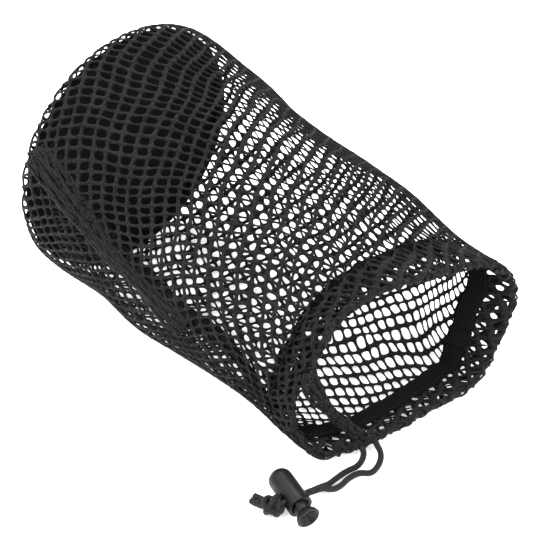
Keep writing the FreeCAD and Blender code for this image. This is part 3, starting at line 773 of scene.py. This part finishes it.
def make_seam_stitches(surface):
    """Overlock threads over the seam: a zigzag between two chained rows."""
    t, u = seam_places(surface, 132)
    half = 3.0 * MM / NET_COURSE
    side = half * np.where(np.arange(len(t)) % 2 == 0, 1.0, -1.0)
    paths = [surface.point(u + side, t, -0.9 * MM)[0]]
    for shift in (-half, half):
        paths.append(surface.point(u + shift, t, -1.0 * MM)[0])
    return tube_pieces("side_seam_stitches", paths, 0.28 * MM, 6)


# The pleat of gathered net from the rim's left side down to the cord's exits, in millimetres,
# measured and rounded like the rim.
PLEAT_COURSE = ((59.0, -42.5, 44.0), (62.0, -42.0, 34.0), (66.0, -39.5, 25.0), (71.5, -36.0, 18.0),
                (79.0, -32.0, 11.0), (87.0, -28.5, 4.5))
PLEAT_YARNS = 8
PLEAT_WIDTH = 8.5 * MM
GATHER_YARNS = 9
GATHER_WIDTH = 14 * MM
GATHER_ASIDE = 4 * MM
GATHER_REACH = (16 * MM, 128 * MM)
GATHERED_RADIUS = 0.75 * MM


def gathered_yarns(name, course, above_hint, yarns, width, radius, crown):
    """Net drawn together along a course: bunched yarns side by side, tied by slanting ones."""
    known = np.linspace(0, 1, len(course))
    share = np.linspace(0, 1, 60)
    line = np.stack([np.interp(share, known, course[:, axis]) for axis in range(3)], axis=1)
    for repeat in range(8):
        line[1:-1] = (line[:-2] + 2 * line[1:-1] + line[2:]) / 4
    ahead = np.gradient(line, axis=0)
    ahead = ahead / np.linalg.norm(ahead, axis=1, keepdims=True)
    side = np.cross(ahead, above_hint)
    side = side / np.linalg.norm(side, axis=1, keepdims=True)
    above = np.cross(side, ahead)
    spread = np.linspace(-0.5, 0.5, yarns)

    def yarn(place, phase):
        reach = width * (0.75 + 0.25 * np.cos(TURN * (share - 0.1)))
        sway = 0.5 * MM * np.sin(TURN * (2.6 * share + phase))
        rise = crown * np.cos(math.pi * place) + 0.6 * MM * np.sin(TURN * (3.4 * share + 2.1 * phase))
        return line + side * (place * reach + sway)[:, None] + above * rise[:, None]

    paths = [yarn(np.full(60, place), 0.37 * number) for number, place in enumerate(spread)]
    for number in range(yarns - 1):
        blend = 0.5 + 0.5 * np.sin(TURN * share * 9 + number)
        place = spread[number] + (spread[number + 1] - spread[number]) * blend
        paths.append(yarn(place, 0.37 * (number + 0.5)))
    return tube_pieces(name, paths, radius, 7)


def make_seam_gather(surface):
    """Folds of the net drawn up along the side seam where it meets the round base."""
    t = np.linspace(*GATHER_REACH, 24)
    u = seam_round(t) + GATHER_ASIDE / NET_COURSE
    course = surface.point(u, t, 0.2 * MM)[0]
    return gathered_yarns("net_seam_gather", course, (0.2, -0.7, 0.65), GATHER_YARNS, GATHER_WIDTH,
                          GATHERED_RADIUS, 0.9 * MM)


# ---------------------------------------------------------------- cords

CORD_DIAMETER = 3 * MM
LOCK_PLACE = (86.4, -78.6)
LOCK_HEADING = math.radians(-16)
LOCK_LEVEL = 6.0
STRAND_APART = 0.95
STRAND_LEVEL = 1.22
STRAND_IN = 13.5
STRAND_OUT = -11.0


def lock_point(along_axis, along_cord, level):
    """A place given from the lock's middle: along its own axis and along the cord's way through it."""
    cosine, sine = math.cos(LOCK_HEADING), math.sin(LOCK_HEADING)
    return (LOCK_PLACE[0] + cosine * along_axis - sine * along_cord,
            LOCK_PLACE[1] + sine * along_axis + cosine * along_cord, level)


# The free strands and tails, in millimetres, measured on the photo and rounded. The last two points of
# a strand are the lock's, as in part.py.
RIGHT_STRAND = (
    (84.5, -23.0, 5.0), (89.5, -25.5, 4.4), (95.0, -27.5, 3.4), (98.5, -32.5, 2.2), (99.5, -39.5, 1.7),
    (95.0, -42.5, 1.7), (93.5, -49.0, 1.7), (94.5, -56.0, 1.8), (93.5, -61.5, 3.4),
    lock_point(STRAND_APART, STRAND_IN, LOCK_LEVEL + STRAND_LEVEL),
    lock_point(STRAND_APART, STRAND_OUT, LOCK_LEVEL + STRAND_LEVEL),
)
LEFT_STRAND = (
    (83.5, -29.5, 5.6), (87.5, -32.5, 4.4), (90.5, -35.0, 3.4), (92.0, -40.5, 1.9), (90.0, -46.0, 1.7),
    (89.5, -53.0, 1.7), (90.0, -59.0, 2.4),
    lock_point(-STRAND_APART, STRAND_IN, LOCK_LEVEL - STRAND_LEVEL),
    lock_point(-STRAND_APART, STRAND_OUT, LOCK_LEVEL - STRAND_LEVEL),
)
RIGHT_TAIL = ((78.5, -88.5, 4.9), (74.5, -88.0, 3.6), (70.5, -88.5, 2.3))
LEFT_TAIL = ((78.5, -91.0, 4.2), (75.0, -91.5, 2.7), (71.0, -91.5, 1.8))


def spline_piece(name, points, diameter, closed=False):
    """A round cord on one NURBS spline with these points as its control points."""
    curve = bpy.data.curves.new(name, "CURVE")
    curve.dimensions = "3D"
    curve.bevel_depth = diameter / 2
    curve.bevel_resolution = 5
    curve.resolution_u = 12
    curve.use_fill_caps = not closed
    spline = curve.splines.new("NURBS")
    spline.points.add(len(points) - 1)
    for control, point in zip(spline.points, points):
        control.co = (*(float(value) for value in point), 1)
    spline.order_u = 3
    spline.use_endpoint_u = not closed
    spline.use_cyclic_u = closed
    piece = bpy.data.objects.new(name, curve)
    bpy.context.collection.objects.link(piece)
    return piece


def cord_length(points):
    """Length of the quadratic spline with these control points, by short chords."""
    hand = np.array(points) * MM
    middles = (hand[1:-2] + hand[2:-1]) / 2
    starts = np.vstack([hand[:1], middles])
    ends = np.vstack([middles, hand[-1:]])
    share = np.linspace(0, 1, 40)[:, None]
    total = 0.0
    for start, control, finish in zip(starts, hand[1:-1], ends):
        line = start * (1 - share) ** 2 + control * 2 * share * (1 - share) + finish * share ** 2
        total += np.linalg.norm(np.diff(line, axis=0), axis=1).sum()
    return float(total)


def make_free_cords():
    """The two strands from the hem to the knot, and the two short ends past it."""
    strands = []
    for name, points in (("drawcord_strand_right", RIGHT_STRAND), ("drawcord_strand_left", LEFT_STRAND)):
        strand = spline_piece(name, mm(points), CORD_DIAMETER)
        material = braid_material(name + "_braid", CORD_DARK, CORD_HIGHLIGHT_AND_TONE, cord_length(points),
                                  CORD_DIAMETER)
        strands.append(dress(strand, material, replaces=(name.replace("_strand", ""),)))
    ends = []
    for name, points in (("drawcord_end_right", RIGHT_TAIL), ("drawcord_end_left", LEFT_TAIL)):
        tail = spline_piece(name, mm(points), CORD_DIAMETER)
        material = braid_material(name + "_braid", CORD_DARK, CORD_HIGHLIGHT_AND_TONE, 8 * MM, CORD_DIAMETER)
        ends.append(dress(tail, material, replaces=(name.replace("_end_", "_tail_"),)))
    return strands, ends


KNOT_SIZE = 4.7 * MM


def make_knot():
    """An overhand knot pulled tight in the doubled cord: a trefoil course, flattened a little."""
    lowest, highest = (Vector(corner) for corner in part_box("drawcord_knot"))
    centre = (lowest + highest) / 2 + Vector((0.6, 1.0, 0.7)) * MM
    turns = np.linspace(0, TURN, 30, endpoint=False)
    course = np.stack([(2 + np.cos(3 * turns)) * np.cos(2 * turns) / 3,
                       (2 + np.cos(3 * turns)) * np.sin(2 * turns) / 3,
                       np.sin(3 * turns) * 0.62], axis=1) * KNOT_SIZE
    knots = []
    for name, tilt, shift in (("drawcord_knot_right", 55, 0.5), ("drawcord_knot_left", -35, -0.5)):
        turn = Matrix.Rotation(math.radians(tilt), 3, "Y") @ Matrix.Rotation(math.radians(20), 3, "X")
        points = [centre + Vector((0, 0, shift)) * MM + turn @ Vector(point) for point in course]
        for point in points:
            point.z = max(point.z, CORD_DIAMETER / 2)
        knot = spline_piece(name, points, CORD_DIAMETER * 0.9, closed=True)
        material = braid_material(name + "_braid", CORD_DARK, CORD_HIGHLIGHT_AND_TONE, 45 * MM, CORD_DIAMETER)
        replaced = ("drawcord_knot",) if tilt > 0 else ()
        dress(knot, material, replaces=replaced)
        knots.append(knot)
    return knots


def make_frayed_ends(tails):
    """Loose fibres at the cut ends of the cord."""
    chance = random.Random(7)
    paths = []
    for points in tails:
        end = Vector(mm(points[-1]))
        way = (end - Vector(mm(points[-2]))).normalized()
        side = way.orthogonal().normalized()
        other = way.cross(side)
        for number in range(26):
            turn = TURN * number / 26 + chance.uniform(-0.2, 0.2)
            radius = CORD_DIAMETER / 2 * chance.uniform(0.25, 0.95)
            spoke = side * math.cos(turn) + other * math.sin(turn)
            start = end + spoke * radius - way * 0.8 * MM
            reach = chance.uniform(0.9, 2.1) * MM
            middle = start + way * reach * 0.6 + spoke * chance.uniform(-0.1, 0.35) * MM
            finish = start + way * reach + spoke * chance.uniform(0.0, 0.9) * MM
            path = [start, middle, finish]
            for point in path:
                point.z = max(point.z, 0.25 * MM)
            paths.append(path)
    return tube_pieces("drawcord_frayed_ends", paths, 0.2 * MM, 5)


SPRING_RADIUS = 2.3 * MM
SPRING_WIRE = 0.3 * MM
SPRING_FLOOR = -13.0
SPRING_FREE = 7.08
SPRING_PITCH = 1.3
SPRING_SET_IN = 0.36


def make_spring(material):
    """The lock's coil spring, built at one length from near the barrel's closed end towards the plunger.
    On the lock it shortens towards that end with the plunger.
    """
    share = np.linspace(0, 1, 180)
    turn = TURN * SPRING_FREE / SPRING_PITCH * share
    lock_side = Vector((-math.sin(LOCK_HEADING), math.cos(LOCK_HEADING), 0))
    path = []
    for part, angle in zip(share, turn):
        reach = SPRING_FLOOR + SPRING_SET_IN + SPRING_FREE * part
        spoke = lock_side * math.cos(angle) + Vector((0, 0, math.sin(angle)))
        path.append(Vector(lock_point(reach, 0, LOCK_LEVEL)) * MM + spoke * SPRING_RADIUS)
    spring = tube_pieces("lock_spring_coil", [path], SPRING_WIRE, 8)
    dress(spring, material, body="cord_lock", replaces=("lock_spring",))
    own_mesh(spring)


# ---------------------------------------------------------------- build

CORD_DARK = (0.0006, 0.0006, 0.0007)
# Light end of the cord ramps: painted highlights of the braid and its fibres, with the yarn's own tone.
CORD_HIGHLIGHT_AND_TONE = (0.011, 0.011, 0.0118)
NET_DARK = (0.0003, 0.0003, 0.0003)
# Light end of the net's yarn ramp: painted fibre highlights together with the yarn's own tone.
NET_HIGHLIGHT_AND_TONE = (0.0120, 0.0120, 0.0126)
TAPE_THICK = 0.6 * MM
TAPE_GAP = 0.9 * MM
TAPE_WIDTH = 9.5 * MM
HEM_CORD_POINTS = 64
HEM_CORD_LENGTH = 0.36
BASE_RADIUS = 66.5 * MM
FOLD_START = 30 * MM
FOLD_INSET = 3.4 * MM
FOLD_SHIFT = 2.6 * MM
BLACK = (0.0014, 0.0014, 0.0015)
LAP_PLACE = (0.128, 0.155)
FOLD_WINDOW = (0.715, 0.85)

make_camera()
strands, ends = make_free_cords()
knots = make_knot()
frayed = make_frayed_ends((RIGHT_TAIL, LEFT_TAIL))
dress(frayed, yarn_material("frayed_fibre", CORD_DARK, CORD_HIGHLIGHT_AND_TONE, 3000.0, 0.0001))
make_studio()

surface = Surface()
net_material = yarn_material("net_yarn", NET_DARK, NET_HIGHLIGHT_AND_TONE, 900.0, 0.0009)
wall_length = surface.length - HEM_DEPTH
body_net = net_piece("net_wall", surface, 0.0, wall_length, HOLE_SIDE, HOLE_CORNER)
dress(body_net, net_material, replaces=("net_tube",))
hem_end = surface.fold + math.pi * HEM_FOLD + HEM_DEPTH - HEM_FOLD
hem_net = net_piece("net_hem", surface, wall_length, hem_end, HEM_HOLE_SIDE, HEM_HOLE_CORNER)
dress(hem_net, net_material)
pleat = gathered_yarns("net_pleat", mm(PLEAT_COURSE), (0.35, -0.35, 0.87), PLEAT_YARNS, PLEAT_WIDTH,
                       GATHERED_RADIUS, 1.7 * MM)
dress(pleat, net_material)
seam_gather = dress(make_seam_gather(surface), net_material)
folded_net = net_piece("net_fold", surface, FOLD_START, wall_length, HOLE_SIDE, HOLE_CORNER,
                       window=FOLD_WINDOW, inset=FOLD_INSET, shift=FOLD_SHIFT)
dress(folded_net, net_material)

base_material = woven_material("base_weave", BLACK, (0.0042, 0.0042, 0.0045), 1500.0, 0.00015)
base_cloth = make_base_cloth(BASE_RADIUS, -103.4 * MM, 5.2 * MM, 0.8 * MM)
dress(base_cloth, base_material, replaces=("base_panel",))
binding_material = woven_material("binding_weave", BLACK, (0.005, 0.005, 0.0053), 1200.0, 0.0002)
binding = make_ring_band("base_binding", -102.2 * MM, 65.0 * MM, 6 * MM, 2.2 * MM)
dress(binding, binding_material, replaces=("base_seam_binding",))

tape_far = surface.length - surface.neck + 0.5 * MM
tape_near = tape_far - TAPE_WIDTH
tape_material = woven_material("tape_weave", BLACK, (0.0048, 0.0048, 0.005), 1600.0, 0.0001)
tape = hem_band("tape", surface, (0.0, 1.0), tape_near, tape_far, TAPE_GAP, TAPE_THICK, 260, whole=True)
dress(tape, tape_material, replaces=("hem_tape",))
lap = hem_band("tape_lap", surface, LAP_PLACE, tape_near - 0.4 * MM, tape_far + 0.4 * MM,
               TAPE_GAP + TAPE_THICK + 0.1 * MM, TAPE_THICK, 12)
dress(lap, tape_material, replaces=("hem_tape_lap",))
thread_material = yarn_material("thread", (0.002, 0.002, 0.0022), (0.009, 0.009, 0.0095), 3000.0, 0.0001)
stitches = make_stitches(surface, (tape_near + 1.4 * MM, tape_far - 1.4 * MM), TAPE_GAP + TAPE_THICK)
dress(stitches, thread_material, replaces=("hem_stitching",))

ring_u = np.linspace(0, 1, HEM_CORD_POINTS, endpoint=False)
ring_base, ring_normals = surface.point(ring_u, surface.fold)
hem_cord = spline_piece("drawcord_hidden", ring_base - ring_normals * HEM_FOLD, CORD_DIAMETER,
                        closed=True)
hidden_braid = braid_material("hidden_braid", CORD_DARK, CORD_HIGHLIGHT_AND_TONE, HEM_CORD_LENGTH, CORD_DIAMETER)
dress(hem_cord, hidden_braid, replaces=("drawcord_in_hem",))

seam_strip = make_seam_strip(surface)
dress(seam_strip, binding_material, replaces=("side_seam",))
seam_stitches = dress(make_seam_stitches(surface), thread_material)

plastic = plastic_material("lock_plastic", (0.0022, 0.0022, 0.0023))
make_spring(steel_material("spring_steel"))
for node, material in (("lock_barrel", plastic), ("lock_plunger", plastic)):
    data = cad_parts[node].data
    data.materials.clear()
    data.materials.append(material)
